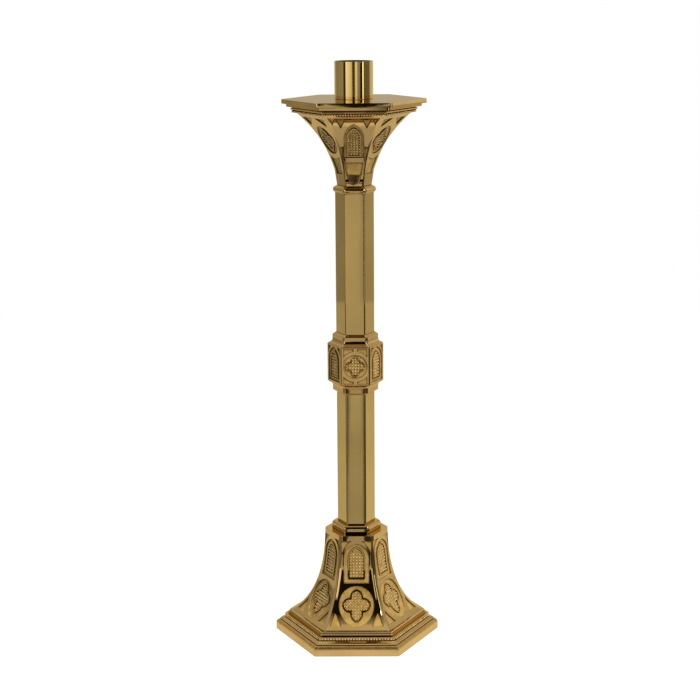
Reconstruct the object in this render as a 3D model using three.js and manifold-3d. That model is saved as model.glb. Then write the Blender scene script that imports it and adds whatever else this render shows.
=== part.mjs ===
// Paschal candlestick in polished cast brass, hexagonal from foot to pan, with a round candle socket.
// Millimetres, +Z up, origin on the floor under the centre. Every hexagon has two corners on the X axis.
// One threaded rod from the bridge in the foot to the nut in the socket seat clamps the whole stack.
// The size of a hexagon is given as its corner radius, from the centre to a corner.
import * as THREE from "three";
import { mergeVertices } from "three/addons/utils/BufferGeometryUtils.js";
import Module from "manifold-3d";

const wasm = await Module();
wasm.setup();

// Fits
const castingJoint = 0.05; // hairline between two stacked castings
const spigotFit = 0.3; // gap round a spigot or register in its seat
const socketFit = 0.3; // gap between the candle socket and its turned seat
const rodDiameter = 10;
const rodHoleDiameter = 11;

// Plinth: slab with a convex moulding on top and an inner flange that the bridge pulls against
const plinthRadius = 154.3;
const slabHeight = 13;
const plinthMouldingHeight = 6;
const plinthMouldingFoot = 1.5; // ledge between the slab's edge and the moulding
const plinthMouldingDepth = 6;
const plinthRimWidth = 9; // width of the foot that touches the floor
const plinthFlangeRadius = 118;

// String course: sloped band, bead row, fillets
const stringRadius = 146.6;
const stringHeight = 20;
const stringSlopeHeight = 5.6;
const stringSlopeDepth = 6.8;
const baseBeadRadius = 2.4;
const stringFilletHeight = 2;
const stringFilletRadius = 131.2;
const stringTopRadius = 128.8;
const stringTopHeight = 3.8;
const stringEdge = 1; // chamfer under the bell

// Bell of the base: hollow casting with a concave sweep
const bellFootRadius = 124.2;
const bellTopRadius = 60.2;
const bellHeight = 164;
const bellFootPullIn = 43.4; // how far the sweep's foot handle leans inwards and up
const bellFootPullUp = 26.9;
const bellNeckPullOut = 1.2; // the same for the handle at the neck
const bellNeckPullDown = 81.4;
const bellWall = 5;
const bellTopPlate = 6;
const registerRadius = 20; // round register between a casting and the one above
const registerHeight = 3;

// Collar on the bell
const baseCollarRadius = 46.5;
const baseCollarTopRadius = 40.5;
const baseCollarBand = 8;
const baseCollarOvolo = 6.5;

// Columns and the knop between them
const columnRadius = 35.3;
const columnWall = 2.5;
const lowerColumnLength = 249.5;
const upperColumnLength = 254.5;
const spigotLength = 15;
const knopRadius = 51.9;
const knopHeight = 71;
const knopWall = 6;
const knopEdge = 1; // chamfer along the top and bottom edges
const ringFootRadius = 37;
const ringRadius = 42.8;
const ringChamfer = 4;
const ringBand = 5.5;
const ringCove = 11;

// Collar under the capital
const headCollarFilletRadius = 36.5;
const headCollarFilletHeight = 2;
const headCollarRadius = 40;
const headCollarBead = 10;
const headCollarTopHeight = 2;
const headCollarTopRadius = 33.5;

// Capital: straight neck, then a flare up to the pan
const capitalFootRadius = 31.8;
const capitalNeckRadius = 35.9;
const capitalNeckHeight = 27;
const capitalMouthRadius = 100.3;
const capitalHeight = 126.5;
const capitalNeckPullOut = 14.5;
const capitalNeckPullUp = 44.3;
const capitalMouthPullIn = 35;
const capitalMouthPullDown = 33;
const capitalWall = 4;
const capitalFootPlate = 8;

// Beaded moulding under the pan
const bedFootRadius = 100.8;
const bedRadius = 104;
const bedHeight = 2.2;
const beadSeatRadius = 109.6;
const beadSeatHeight = 1.8;
const panBeadHeight = 7.3;
const panBeadDepth = 3.8;
const beadCoverHeight = 1.5;
const bedInnerRadius = 86;

// Drip pan: flat plate with a stepped rim
const panRadius = 129.8;
const panPlate = 7.6;
const panEdge = 0.6;
const panStepRadius = 121.5;
const panStepHeight = 4.8;
const panCoveDepth = 1.6; // small hollow between the plate and the step
const panCoveHeight = 0.8;
const panRecessRadius = 106; // inside of the step, which stands on the beaded moulding

// Candle socket and the turned seat that it lifts off
const candleDiameter = 63.5;
const candleFit = 0.5; // gap round the candle
const socketWall = 2;
const socketHeight = 65.5;
const socketFloor = 3;
const seatHeight = 16;
const seatCounterboreDepth = 11;
const seatCounterboreRadius = 13;

// Ornament: panels sunk into the faces, with a raised rim round each studded field.
// Across is measured from a face's centre line, heights from the foot of the casting.
const panelDepth = 1.8;
const fieldDepth = 0.5; // how far a studded field stays below the polished face
const capitalLancetRim = 1.7;

const bellLancet = { half: 23.9, foot: 75.2, spring: 121, apex: 149.1 };
const bellLancetField = { half: 15.2, foot: 82.7, spring: 121, apex: 143.3 };
const bellMedallionRadius = 33;
const bellMedallionHeight = 37.8;
const bellQuatrefoilReach = 26.2;
const bellQuatrefoilLobe = 11.4;
const bellTriangle = { inner: 28, outer: 50, apex: 39.4, foot: 5.4, top: 27 };
const bellSpandrel = { half: 28.2, foot: 129, top: 154 };
const bellSpandrelArch = { half: 27, foot: 75, spring: 121, apex: 158 };

const knopMedallionRadius = 21;
const knopMedallionBorder = 6.9;
const knopQuatrefoilReach = 17.2;
const knopQuatrefoilLobe = 7.4;
const knopFrameHalf = 21.7;
const knopFrameMargin = 2.5; // from the frame to the casting's top and bottom edges
const knopWeb = 6; // between the spandrels above and below the medallion
const knopLancet = { half: 20.6, foot: 4, spring: 43, apex: 68.6 };
const knopLancetField = { half: 11.2, foot: 10, spring: 43, apex: 60 };
const knopLancetArch = { half: 23, foot: 4, spring: 43, apex: 73 };
const knopSpandrelFoot = 52;

const capitalLancet = { half: 18, foot: 52, spring: 88, apex: 115 };
const capitalLancetField = { half: 12.5, foot: 54.4, spring: 88, apex: 106 };
const capitalSill = { half: 19, foot: 46.5, top: 50.7 };
const capitalPanel = { footHalf: 11.8, topHalf: 16.4, foot: 17, top: 44 };
const capitalFlank = { footHalf: 14.6, topHalf: 25.4, foot: 5, top: 70.8 };
const capitalShield = { footHalf: 8, topHalf: 18.4, foot: 4, top: 46.6 };
const capitalSpandrels = [
  [[15, 120.6], [22.6, 105.5], [31, 120.6]],
  [[33.4, 121.4], [37, 110.6], [41, 121.4]],
];
const capitalMedallionRadius = 25;
const capitalMedallionHeight = 82.7;
const capitalMedallionBorder = 4.4;
const capitalQuatrefoilReach = 19.6;
const capitalQuatrefoilLobe = 8.6;
const capitalTablet = { footHalf: 9.6, topHalf: 17.5, foot: 21.5, top: 58, archRadius: 33.2 };
const capitalMedallionSpandrel = [[5, 122.2], [28.5, 107], [38, 122.2]];

// Rod, nuts and washers
const nutAcrossFlats = 17;
const nutHeight = 8;
const locknutHeight = 5;
const washerRadius = 11;
const washerThickness = 2;
const rodTail = 2; // thread that stands out of a nut

// Bridge: cranked strap across the foot
const bridgeWidth = 32;
const bridgeThickness = 6;
const bridgeRise = 21;
const bridgeFlatEnd = 24;
const bridgeFlatTop = 44;
const bridgeEndGap = 5; // from the strap's end to the plinth's rim

// Facets
const overshoot = 1; // how far a cut runs past the face that it opens, and a joined boss into its body
const roundSides = 48;
const boltSides = 20; // rod, nuts, washers, registers and their holes
const sweepSteps = 8;
const mouldingSteps = 5;
const archSteps = 4;
const discSides = 16;
const lobeSides = 12;

const flat = Math.cos(Math.PI / 6); // apothem of a hexagon with corner radius 1

const polishedBrass = new THREE.MeshStandardMaterial({ color: 0xc49a4a, metalness: 1, roughness: 0.12 });
const castBrass = new THREE.MeshStandardMaterial({ color: 0xb98d43, metalness: 1, roughness: 0.25 });
const platedSteel = new THREE.MeshStandardMaterial({ color: 0xa9a69c, metalness: 1, roughness: 0.35 });

// Profiles are lists of [radius, height], from the bottom up

function quarterRound(radius, height, depth, rise, convex) {
  const points = [];
  for (let step = 0; step <= mouldingSteps; step++) {
    const turn = (step / mouldingSteps) * (Math.PI / 2);
    const inwards = convex ? 1 - Math.cos(turn) : Math.sin(turn);
    const upwards = convex ? Math.sin(turn) : 1 - Math.cos(turn);
    points.push([radius - depth * inwards, height + rise * upwards]);
  }
  return points;
}

function halfRound(radius, height, bulge, rise) {
  const points = [];
  for (let step = 0; step <= 2 * mouldingSteps; step++) {
    const turn = (step / (2 * mouldingSteps)) * Math.PI;
    points.push([radius + bulge * Math.sin(turn), height + (rise / 2) * (1 - Math.cos(turn))]);
  }
  return points;
}

function sweep(start, startHandle, endHandle, end) {
  const [a, b, c, d] = [start, startHandle, endHandle, end].map(([r, z]) => new THREE.Vector2(r, z));
  return new THREE.CubicBezierCurve(a, b, c, d).getPoints(sweepSteps).map((point) => [point.x, point.y]);
}

// Moves a hexagon's profile inwards by the thickness of a wall
function inset(profile, wall) {
  return profile.map(([radius, height], i) => {
    const [beforeRadius, beforeHeight] = profile[Math.max(i - 1, 0)];
    const [afterRadius, afterHeight] = profile[Math.min(i + 1, profile.length - 1)];
    const lean = Math.atan2((afterRadius - beforeRadius) * flat, afterHeight - beforeHeight);
    return [radius - (wall * Math.cos(lean)) / flat, height + wall * Math.sin(lean)];
  });
}

// Solids

function solidOf(geometry) {
  geometry.deleteAttribute("normal");
  geometry.deleteAttribute("uv");
  const merged = mergeVertices(geometry, 1e-4);
  const corners = merged.index.array;
  const kept = [];
  for (let i = 0; i < corners.length; i += 3) {
    const [a, b, c] = corners.slice(i, i + 3);
    if (a !== b && b !== c && c !== a) kept.push(a, b, c);
  }
  const vertProperties = merged.attributes.position.array;
  return new wasm.Manifold(new wasm.Mesh({ numProp: 3, vertProperties, triVerts: new Uint32Array(kept) }));
}

function turned(profile, sides) {
  const outline = [[0, profile[0][1]], ...profile, [0, profile.at(-1)[1]]];
  const points = outline.map(([radius, height]) => new THREE.Vector2(radius, height));
  return solidOf(new THREE.LatheGeometry(points, sides, Math.PI / 2).rotateX(Math.PI / 2));
}

const hexagon = (profile) => turned(profile, 6);
const hexagonBar = (radius, from, to) => hexagon([[radius, from], [radius, to]]);
const roundBar = (radius, from, to) => turned([[radius, from], [radius, to]], roundSides);
const boltBar = (radius, from, to) => turned([[radius, from], [radius, to]], boltSides);

function drilled(solid, from, to) {
  return solid.subtract(boltBar(rodHoleDiameter / 2, from - overshoot, to + overshoot));
}

// Ornament

const panelReach = 200; // a panel's prism runs from the axis to clear of every face
const everyFace = [0, 1, 2, 3, 4, 5];
const frontFaces = [0, 2, 4]; // the face on -Y and every second one from it
const sideFaces = [1, 3, 5];

function panel(outline, face) {
  const shape = new THREE.Shape(outline.map(([across, height]) => new THREE.Vector2(across, height)));
  const prism = new THREE.ExtrudeGeometry(shape, { depth: panelReach, bevelEnabled: false });
  return solidOf(prism.rotateX(Math.PI / 2).rotateZ((face * Math.PI) / 3));
}

const mirrored = (outline) => outline.map(([across, height]) => [-across, height]).reverse();

function panelPair(outline, face) {
  return panel(outline, face).add(panel(mirrored(outline), face));
}

// Pointed arch: two arcs that leave the sides upright and meet in the middle
function lancet({ half, foot, spring, apex }) {
  const rise = apex - spring;
  const radius = (half * half + rise * rise) / (2 * half);
  const sweepAngle = Math.asin(rise / radius);
  const right = [];
  for (let step = 0; step < archSteps; step++) {
    const angle = (step / archSteps) * sweepAngle;
    right.push([half - radius * (1 - Math.cos(angle)), spring + radius * Math.sin(angle)]);
  }
  return [[-half, foot], [half, foot], ...right, [0, apex], ...mirrored(right)];
}

function grown(arch, margin) {
  const { half, foot, spring, apex } = arch;
  return { half: half + margin, foot: foot - margin, spring, apex: apex + margin };
}

function disc(radius, across, height, sides = discSides) {
  return Array.from({ length: sides }, (_, i) => {
    const angle = (2 * Math.PI * (i + 0.5)) / sides;
    return [across + radius * Math.cos(angle), height + radius * Math.sin(angle)];
  });
}

function box(half, foot, top) {
  return [[-half, foot], [half, foot], [half, top], [-half, top]];
}

function taper({ footHalf, topHalf, foot, top }) {
  return [[-footHalf, foot], [footHalf, foot], [topHalf, top], [-topHalf, top]];
}

function quatrefoil(reach, lobe, height, face) {
  const offset = reach - lobe;
  const lobes = [[1, 0], [0, 1], [-1, 0], [0, -1]].map(([across, up]) => {
    return panel(disc(lobe, across * offset, height + up * offset, lobeSides), face);
  });
  const middle = panel(box(offset, height - offset, height + offset), face);
  return lobes.reduce((cut, next) => cut.add(next), middle);
}

// Sinks what makeCut gives for each face to a depth under the profile's surface
function carve(body, profile, depth, faces, makeCut) {
  const floor = hexagon(inset(profile, depth));
  return faces.reduce((left, face) => left.subtract(makeCut(face).subtract(floor)), body);
}

// A sunk ground round a field, then the field lowered a little by a cut that runs over the ground
function carveFramed(body, profile, faces, makeGround, makeField) {
  const ground = (face) => makeGround(face).subtract(makeField(face, 0));
  const lowered = (face) => makeField(face, overshoot);
  return carve(carve(body, profile, panelDepth, faces, ground), profile, fieldDepth, faces, lowered);
}

function carveLancet(body, profile, faces, frame, field) {
  return carveFramed(
    body, profile, faces,
    (face) => panel(lancet(frame), face),
    (face, margin) => panel(lancet(grown(field, margin)), face),
  );
}

function carveMedallion(body, profile, faces, radius, reach, lobe, height) {
  return carveFramed(
    body, profile, faces,
    (face) => panel(disc(radius, 0, height), face),
    (face, margin) => quatrefoil(reach + margin, lobe + margin, height, face),
  );
}

function meshOf(name, solid, material, height) {
  const { vertProperties, triVerts } = solid.getMesh();
  const geometry = new THREE.BufferGeometry();
  geometry.setAttribute("position", new THREE.BufferAttribute(vertProperties, 3));
  geometry.setIndex(new THREE.BufferAttribute(triVerts, 1));
  geometry.computeVertexNormals();
  const mesh = new THREE.Mesh(geometry, material);
  mesh.name = name;
  mesh.position.z = height;
  return mesh;
}

// Base

const plinthHeight = slabHeight + plinthMouldingHeight;
const plinthRimRadius = plinthRadius - plinthRimWidth / flat;

function makePlinth() {
  const outside = hexagon([
    [plinthRadius, 0],
    [plinthRadius, slabHeight],
    ...quarterRound(
      plinthRadius - plinthMouldingFoot, slabHeight, plinthMouldingDepth, plinthMouldingHeight, true,
    ),
  ]);
  const pocket = hexagonBar(plinthRimRadius, -overshoot, slabHeight);
  const opening = hexagonBar(plinthFlangeRadius, -overshoot, plinthHeight + overshoot);
  return outside.subtract(pocket).subtract(opening);
}

function makeStringCourse() {
  const beadFoot = stringRadius - stringSlopeDepth - baseBeadRadius;
  const beadTop = stringSlopeHeight + 2 * baseBeadRadius;
  const filletFoot = stringHeight - stringTopHeight - stringFilletHeight;
  const outside = hexagon([
    [stringRadius, 0],
    [stringRadius - stringSlopeDepth, stringSlopeHeight],
    ...halfRound(beadFoot, stringSlopeHeight, baseBeadRadius, 2 * baseBeadRadius),
    [stringFilletRadius, beadTop],
    [stringFilletRadius, filletFoot + stringFilletHeight],
    [stringTopRadius, filletFoot + stringFilletHeight],
    [stringTopRadius, stringHeight - stringEdge],
    [stringTopRadius - stringEdge, stringHeight],
  ]);
  return outside.subtract(hexagonBar(plinthFlangeRadius, -overshoot, stringHeight + overshoot));
}

const bellProfile = sweep(
  [bellFootRadius, 0],
  [bellFootRadius - bellFootPullIn, bellFootPullUp],
  [bellTopRadius + bellNeckPullOut, bellHeight - bellNeckPullDown],
  [bellTopRadius, bellHeight],
);

function makeBell() {
  const ceiling = bellHeight - bellTopPlate;
  const inner = inset(bellProfile, bellWall);
  const below = inner.filter(([, height]) => height > 0 && height < ceiling);
  const hollow = hexagon([[inner[0][0], -overshoot], ...below, [below.at(-1)[0], ceiling]]);
  const registerFloor = bellHeight - registerHeight - spigotFit;
  const register = boltBar(registerRadius + spigotFit, registerFloor, bellHeight + overshoot);
  const { inner: near, outer: far, apex, foot, top } = bellTriangle;
  let body = hexagon(bellProfile);
  body = carveLancet(body, bellProfile, everyFace, bellLancet, bellLancetField);
  body = carveMedallion(
    body, bellProfile, everyFace,
    bellMedallionRadius, bellQuatrefoilReach, bellQuatrefoilLobe, bellMedallionHeight,
  );
  body = carve(body, bellProfile, panelDepth, everyFace, (face) => {
    const spandrels = panel(box(bellSpandrel.half, bellSpandrel.foot, bellSpandrel.top), face);
    const arch = panel(lancet(bellSpandrelArch), face);
    return spandrels.subtract(arch).add(panelPair([[near, foot], [far, foot], [apex, top]], face));
  });
  return drilled(body.subtract(hollow).subtract(register), 0, bellHeight);
}

// Hexagonal spigot that enters a column, and round register that enters a casting
const columnBoreRadius = columnRadius - columnWall / flat;
const spigotRadius = columnBoreRadius - spigotFit / flat;

function makeBaseCollar() {
  const height = baseCollarBand + baseCollarOvolo;
  const ovoloDepth = baseCollarRadius - baseCollarTopRadius;
  const body = hexagon([
    [baseCollarRadius, 0],
    ...quarterRound(baseCollarRadius, baseCollarBand, ovoloDepth, baseCollarOvolo, true),
  ]);
  const spigot = hexagonBar(spigotRadius, height - overshoot, height + spigotLength);
  const register = boltBar(registerRadius, -registerHeight, overshoot);
  return drilled(body.add(spigot).add(register), -registerHeight, height + spigotLength);
}

function makeBridge() {
  const reach = plinthRimRadius * flat - bridgeEndGap;
  const half = bridgeFlatTop / 2;
  const shoulder = reach - bridgeFlatEnd;
  const lean = Math.atan2(bridgeRise, shoulder - half);
  const kink = bridgeThickness * Math.tan(lean / 2); // keeps the strap as thick on the slope as on the flat
  const upper = [
    [-reach, 0],
    [-shoulder, 0],
    [-half, bridgeRise],
    [half, bridgeRise],
    [shoulder, 0],
    [reach, 0],
  ];
  const lower = [
    [reach, -bridgeThickness],
    [shoulder - kink, -bridgeThickness],
    [half - kink, bridgeRise - bridgeThickness],
    [-half + kink, bridgeRise - bridgeThickness],
    [-shoulder + kink, -bridgeThickness],
    [-reach, -bridgeThickness],
  ];
  const side = new THREE.Shape([...upper, ...lower].map(([y, z]) => new THREE.Vector2(y, z)));
  const strap = new THREE.ExtrudeGeometry(side, { depth: bridgeWidth, bevelEnabled: false });
  strap.translate(0, 0, -bridgeWidth / 2).rotateX(Math.PI / 2).rotateZ(Math.PI / 2);
  return drilled(solidOf(strap), -bridgeThickness, bridgeRise);
}

// Stem

function makeColumn(length) {
  const bore = hexagonBar(columnBoreRadius, -overshoot, length + overshoot);
  return hexagonBar(columnRadius, 0, length).subtract(bore);
}

const ringHeight = ringChamfer + ringBand + ringCove;
const knopBoreRadius = knopRadius - knopWall / flat;

// The lower ring; the upper one is the same casting turned over
function makeKnopRing() {
  const coveDepth = knopRadius - knopEdge - ringRadius;
  const cove = quarterRound(knopRadius - knopEdge, -ringHeight, coveDepth, ringCove, false);
  const body = hexagon([
    [ringFootRadius, 0],
    [ringRadius, ringChamfer],
    [ringRadius, ringChamfer + ringBand],
    ...cove.map(([radius, height]) => [radius, -height]).reverse(),
  ]);
  const top = ringHeight + registerHeight;
  const columnSpigot = hexagonBar(spigotRadius, -spigotLength, overshoot);
  const knopSpigot = hexagonBar(knopBoreRadius - spigotFit / flat, ringHeight - overshoot, top);
  return drilled(body.add(columnSpigot).add(knopSpigot), -spigotLength, top);
}

function makeKnop() {
  const middle = knopHeight / 2;
  const face = [[knopRadius, 0], [knopRadius, knopHeight]];
  let body = hexagon([
    [knopRadius - knopEdge, 0],
    [knopRadius, knopEdge],
    [knopRadius, knopHeight - knopEdge],
    [knopRadius - knopEdge, knopHeight],
  ]);
  body = carveMedallion(
    body, face, frontFaces, knopMedallionRadius, knopQuatrefoilReach, knopQuatrefoilLobe, middle,
  );
  body = carve(body, face, panelDepth, frontFaces, (side) => {
    const frame = panel(box(knopFrameHalf, knopFrameMargin, knopHeight - knopFrameMargin), side);
    const border = panel(disc(knopMedallionRadius + knopMedallionBorder, 0, middle), side);
    const web = panel(box(knopWeb / 2, 0, knopHeight), side);
    return frame.subtract(border).subtract(web);
  });
  body = carveLancet(body, face, sideFaces, knopLancet, knopLancetField);
  body = carve(body, face, panelDepth, sideFaces, (side) => {
    const frame = panel(box(knopFrameHalf, knopSpandrelFoot, knopHeight - knopFrameMargin), side);
    return frame.subtract(panel(lancet(knopLancetArch), side));
  });
  return body.subtract(hexagonBar(knopBoreRadius, -overshoot, knopHeight + overshoot));
}

// Head

const headCollarHeight = headCollarFilletHeight + headCollarBead + headCollarTopHeight;

function makeHeadCollar() {
  const bulge = headCollarRadius - headCollarFilletRadius;
  const body = hexagon([
    [headCollarFilletRadius, 0],
    ...halfRound(headCollarFilletRadius, headCollarFilletHeight, bulge, headCollarBead),
    [headCollarTopRadius, headCollarHeight],
  ]);
  const top = headCollarHeight + registerHeight;
  const spigot = hexagonBar(spigotRadius, -spigotLength, overshoot);
  const register = boltBar(registerRadius, headCollarHeight - overshoot, top);
  return drilled(body.add(spigot).add(register), -spigotLength, top);
}

const flareProfile = sweep(
  [capitalNeckRadius, capitalNeckHeight],
  [capitalNeckRadius + capitalNeckPullOut, capitalNeckHeight + capitalNeckPullUp],
  [capitalMouthRadius - capitalMouthPullIn, capitalHeight - capitalMouthPullDown],
  [capitalMouthRadius, capitalHeight],
);
const capitalProfile = [[capitalFootRadius, 0], ...flareProfile];

function makeCapital() {
  const inner = inset(capitalProfile, capitalWall).filter(([, height]) => height > capitalFootPlate);
  const hollow = hexagon([
    [inner[0][0], capitalFootPlate],
    ...inner.filter(([, height]) => height < capitalHeight),
    [inner.at(-1)[0], capitalHeight + overshoot],
  ]);
  const register = boltBar(registerRadius + spigotFit, -overshoot, registerHeight + spigotFit);
  let body = hexagon(capitalProfile);
  body = carveLancet(body, capitalProfile, frontFaces, capitalLancet, capitalLancetField);
  body = carve(body, capitalProfile, panelDepth, frontFaces, (face) => {
    const flanks = panel(taper(capitalFlank), face)
      .subtract(panel(lancet(grown(capitalLancet, capitalLancetRim)), face))
      .subtract(panel(box(capitalSill.half, capitalSill.foot, capitalSill.top), face))
      .subtract(panel(taper(capitalShield), face));
    const spandrels = capitalSpandrels.map((outline) => panelPair(outline, face));
    return [panel(taper(capitalPanel), face), ...spandrels].reduce((cut, next) => cut.add(next), flanks);
  });
  body = carveMedallion(
    body, capitalProfile, sideFaces,
    capitalMedallionRadius, capitalQuatrefoilReach, capitalQuatrefoilLobe, capitalMedallionHeight,
  );
  body = carve(body, capitalProfile, panelDepth, sideFaces, (face) => {
    const arch = panel(disc(capitalTablet.archRadius, 0, capitalMedallionHeight), face);
    const borderRadius = capitalMedallionRadius + capitalMedallionBorder;
    const border = panel(disc(borderRadius, 0, capitalMedallionHeight), face);
    const tablet = panel(taper(capitalTablet), face).subtract(arch);
    return tablet.add(panelPair(capitalMedallionSpandrel, face).subtract(border));
  });
  return drilled(body.subtract(hollow).subtract(register), 0, capitalFootPlate);
}

const panMouldingHeight = bedHeight + beadSeatHeight + panBeadHeight + beadCoverHeight;

function makePanMoulding() {
  const beadFoot = bedHeight + beadSeatHeight;
  const outside = hexagon([
    [bedFootRadius, 0],
    [bedRadius, bedHeight],
    [beadSeatRadius, beadFoot],
    ...halfRound(beadSeatRadius, beadFoot, panBeadDepth, panBeadHeight),
    [beadSeatRadius, panMouldingHeight],
  ]);
  return outside.subtract(hexagonBar(bedInnerRadius, -overshoot, panMouldingHeight + overshoot));
}

const panStepTop = panStepHeight + panCoveHeight;
const panHeight = panStepTop + panPlate;

function makePan() {
  const outside = hexagon([
    [panStepRadius, 0],
    [panStepRadius, panStepHeight],
    [panStepRadius - panCoveDepth, panStepHeight],
    [panStepRadius - panCoveDepth, panStepTop],
    [panRadius - panEdge, panStepTop],
    [panRadius, panStepTop + panEdge],
    [panRadius, panHeight - panEdge],
    [panRadius - panEdge, panHeight],
  ]);
  const recess = hexagonBar(panRecessRadius, -overshoot, panStepTop);
  return drilled(outside.subtract(recess), 0, panHeight);
}

const socketBore = candleDiameter / 2 + candleFit;
const seatRadius = socketBore - socketFit;
const socketFloorHeight = seatHeight + socketFit;

function makeSeat() {
  const floor = seatHeight - seatCounterboreDepth;
  const counterbore = boltBar(seatCounterboreRadius, floor, seatHeight + overshoot);
  return drilled(roundBar(seatRadius, 0, seatHeight).subtract(counterbore), 0, seatHeight);
}

function makeSocket() {
  const tube = roundBar(socketBore + socketWall, 0, socketHeight);
  const skirt = roundBar(socketBore, -overshoot, socketFloorHeight);
  const cup = roundBar(socketBore, socketFloorHeight + socketFloor, socketHeight + overshoot);
  return tube.subtract(skirt).subtract(cup);
}

// Fasteners

function makeWasher() {
  return drilled(boltBar(washerRadius, 0, washerThickness), 0, washerThickness);
}

// The thread is drawn as a plain rod, so a nut's bore clears it by the joint gap
function makeNut(height) {
  const bore = boltBar(rodDiameter / 2 + castingJoint, -overshoot, height + overshoot);
  return hexagonBar(nutAcrossFlats / 2 / flat, 0, height).subtract(bore);
}

// Assembly, stacked from the floor up

const stack = (under, height) => under + height + castingJoint;

const base = new THREE.Group();
const stringFoot = stack(0, plinthHeight);
const bellFoot = stack(stringFoot, stringHeight);
const baseCollarFoot = stack(bellFoot, bellHeight);
const baseHeight = stack(baseCollarFoot, baseCollarBand + baseCollarOvolo);
const bridgeSeat = slabHeight - castingJoint;
base.add(
  meshOf("base_plinth", makePlinth(), castBrass, 0),
  meshOf("base_string_course", makeStringCourse(), polishedBrass, stringFoot),
  meshOf("base_bell", makeBell(), polishedBrass, bellFoot),
  meshOf("base_collar", makeBaseCollar(), polishedBrass, baseCollarFoot),
  meshOf("base_bridge", makeBridge(), platedSteel, bridgeSeat),
);

const stem = new THREE.Group();
stem.position.z = baseHeight;
const lowerRingFoot = stack(0, lowerColumnLength);
const knopFoot = stack(lowerRingFoot, ringHeight);
const upperRingTop = stack(stack(knopFoot, knopHeight), ringHeight);
const upperColumnFoot = upperRingTop + castingJoint;
const stemHeight = stack(upperColumnFoot, upperColumnLength);
const upperRing = meshOf("knop_upper_ring", makeKnopRing(), polishedBrass, upperRingTop);
upperRing.rotation.x = Math.PI;
stem.add(
  meshOf("lower_column", makeColumn(lowerColumnLength), polishedBrass, 0),
  meshOf("knop_lower_ring", makeKnopRing(), polishedBrass, lowerRingFoot),
  meshOf("knop", makeKnop(), polishedBrass, knopFoot),
  upperRing,
  meshOf("upper_column", makeColumn(upperColumnLength), polishedBrass, upperColumnFoot),
);

const head = new THREE.Group();
head.position.z = baseHeight + stemHeight;
const capitalFoot = stack(0, headCollarHeight);
const panMouldingFoot = stack(capitalFoot, capitalHeight);
const panFoot = stack(panMouldingFoot, panMouldingHeight);
const panTop = panFoot + panHeight;
const seatFoot = stack(panTop, 0);
head.add(
  meshOf("head_collar", makeHeadCollar(), polishedBrass, 0),
  meshOf("capital", makeCapital(), polishedBrass, capitalFoot),
  meshOf("pan_moulding", makePanMoulding(), polishedBrass, panMouldingFoot),
  meshOf("drip_pan", makePan(), polishedBrass, panFoot),
  meshOf("socket_seat", makeSeat(), castBrass, seatFoot),
  meshOf("candle_socket", makeSocket(), polishedBrass, panTop + socketFit),
);

const rod = new THREE.Group();
const bottomWasherFoot = bridgeSeat + bridgeRise - bridgeThickness - castingJoint - washerThickness;
const bottomNutFoot = bottomWasherFoot - castingJoint - nutHeight;
const locknutFoot = bottomNutFoot - castingJoint - locknutHeight;
const topWasherFoot = stack(head.position.z + seatFoot, seatHeight - seatCounterboreDepth);
const topNutFoot = stack(topWasherFoot, washerThickness);
const rodFoot = locknutFoot - rodTail;
const rodTop = Math.min(topNutFoot + nutHeight + rodTail, head.position.z + seatFoot + seatHeight);
rod.add(
  meshOf("tie_rod", boltBar(rodDiameter / 2, 0, rodTop - rodFoot), platedSteel, rodFoot),
  meshOf("bottom_locknut", makeNut(locknutHeight), platedSteel, locknutFoot),
  meshOf("bottom_nut", makeNut(nutHeight), platedSteel, bottomNutFoot),
  meshOf("bottom_washer", makeWasher(), platedSteel, bottomWasherFoot),
  meshOf("top_washer", makeWasher(), platedSteel, topWasherFoot),
  meshOf("top_nut", makeNut(nutHeight), platedSteel, topNutFoot),
);

const candlestick = new THREE.Group();
candlestick.add(base, stem, head, rod);

export default candlestick;
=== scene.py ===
import math

import bpy
from mathutils import Matrix, Vector
from mathutils.geometry import interpolate_bezier


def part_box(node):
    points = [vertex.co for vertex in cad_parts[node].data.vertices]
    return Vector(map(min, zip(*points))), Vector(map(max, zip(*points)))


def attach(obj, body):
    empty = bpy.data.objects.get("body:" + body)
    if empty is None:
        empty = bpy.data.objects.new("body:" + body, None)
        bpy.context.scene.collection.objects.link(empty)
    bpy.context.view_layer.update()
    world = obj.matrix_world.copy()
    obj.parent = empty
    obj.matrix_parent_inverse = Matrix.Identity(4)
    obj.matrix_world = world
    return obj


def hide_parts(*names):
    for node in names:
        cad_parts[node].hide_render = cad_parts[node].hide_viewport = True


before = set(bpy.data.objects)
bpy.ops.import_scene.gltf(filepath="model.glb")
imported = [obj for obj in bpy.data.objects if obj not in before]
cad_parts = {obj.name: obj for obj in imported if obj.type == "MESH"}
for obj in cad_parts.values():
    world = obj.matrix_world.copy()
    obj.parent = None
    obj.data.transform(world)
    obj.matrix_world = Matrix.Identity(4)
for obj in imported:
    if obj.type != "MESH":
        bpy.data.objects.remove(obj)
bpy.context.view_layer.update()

# Lengths below are millimetres, turned to metres where a piece is made.
# A hexagon is given by its corner radius, and two of its corners lie on the X axis.
mm = 0.001
flat = math.cos(math.pi / 6)  # apothem of a hexagon with corner radius 1
allFaces = (0, 1, 2, 3, 4, 5)  # the front face first, then round the stem
frontFaces = (0, 2, 4)
sideFaces = (1, 3, 5)
hexagon, coarse, fine = 6, 20, 32  # sides of a bar or bore
rodHole = 5.5  # radius of the tie rod's way through each casting
clear = 1  # how far a tool or boss reaches past where it meets the body
# degrees between an arc's points, the gap that is welded shut, and the sides of a disc
drawing = dict(arcStep=6, weld=0.02, discSides=72)


# Hand tools

def leaveAll():
    if bpy.context.object and bpy.context.object.mode != "OBJECT":
        bpy.ops.object.mode_set(mode="OBJECT")
    bpy.ops.object.select_all(action="DESELECT")


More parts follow.
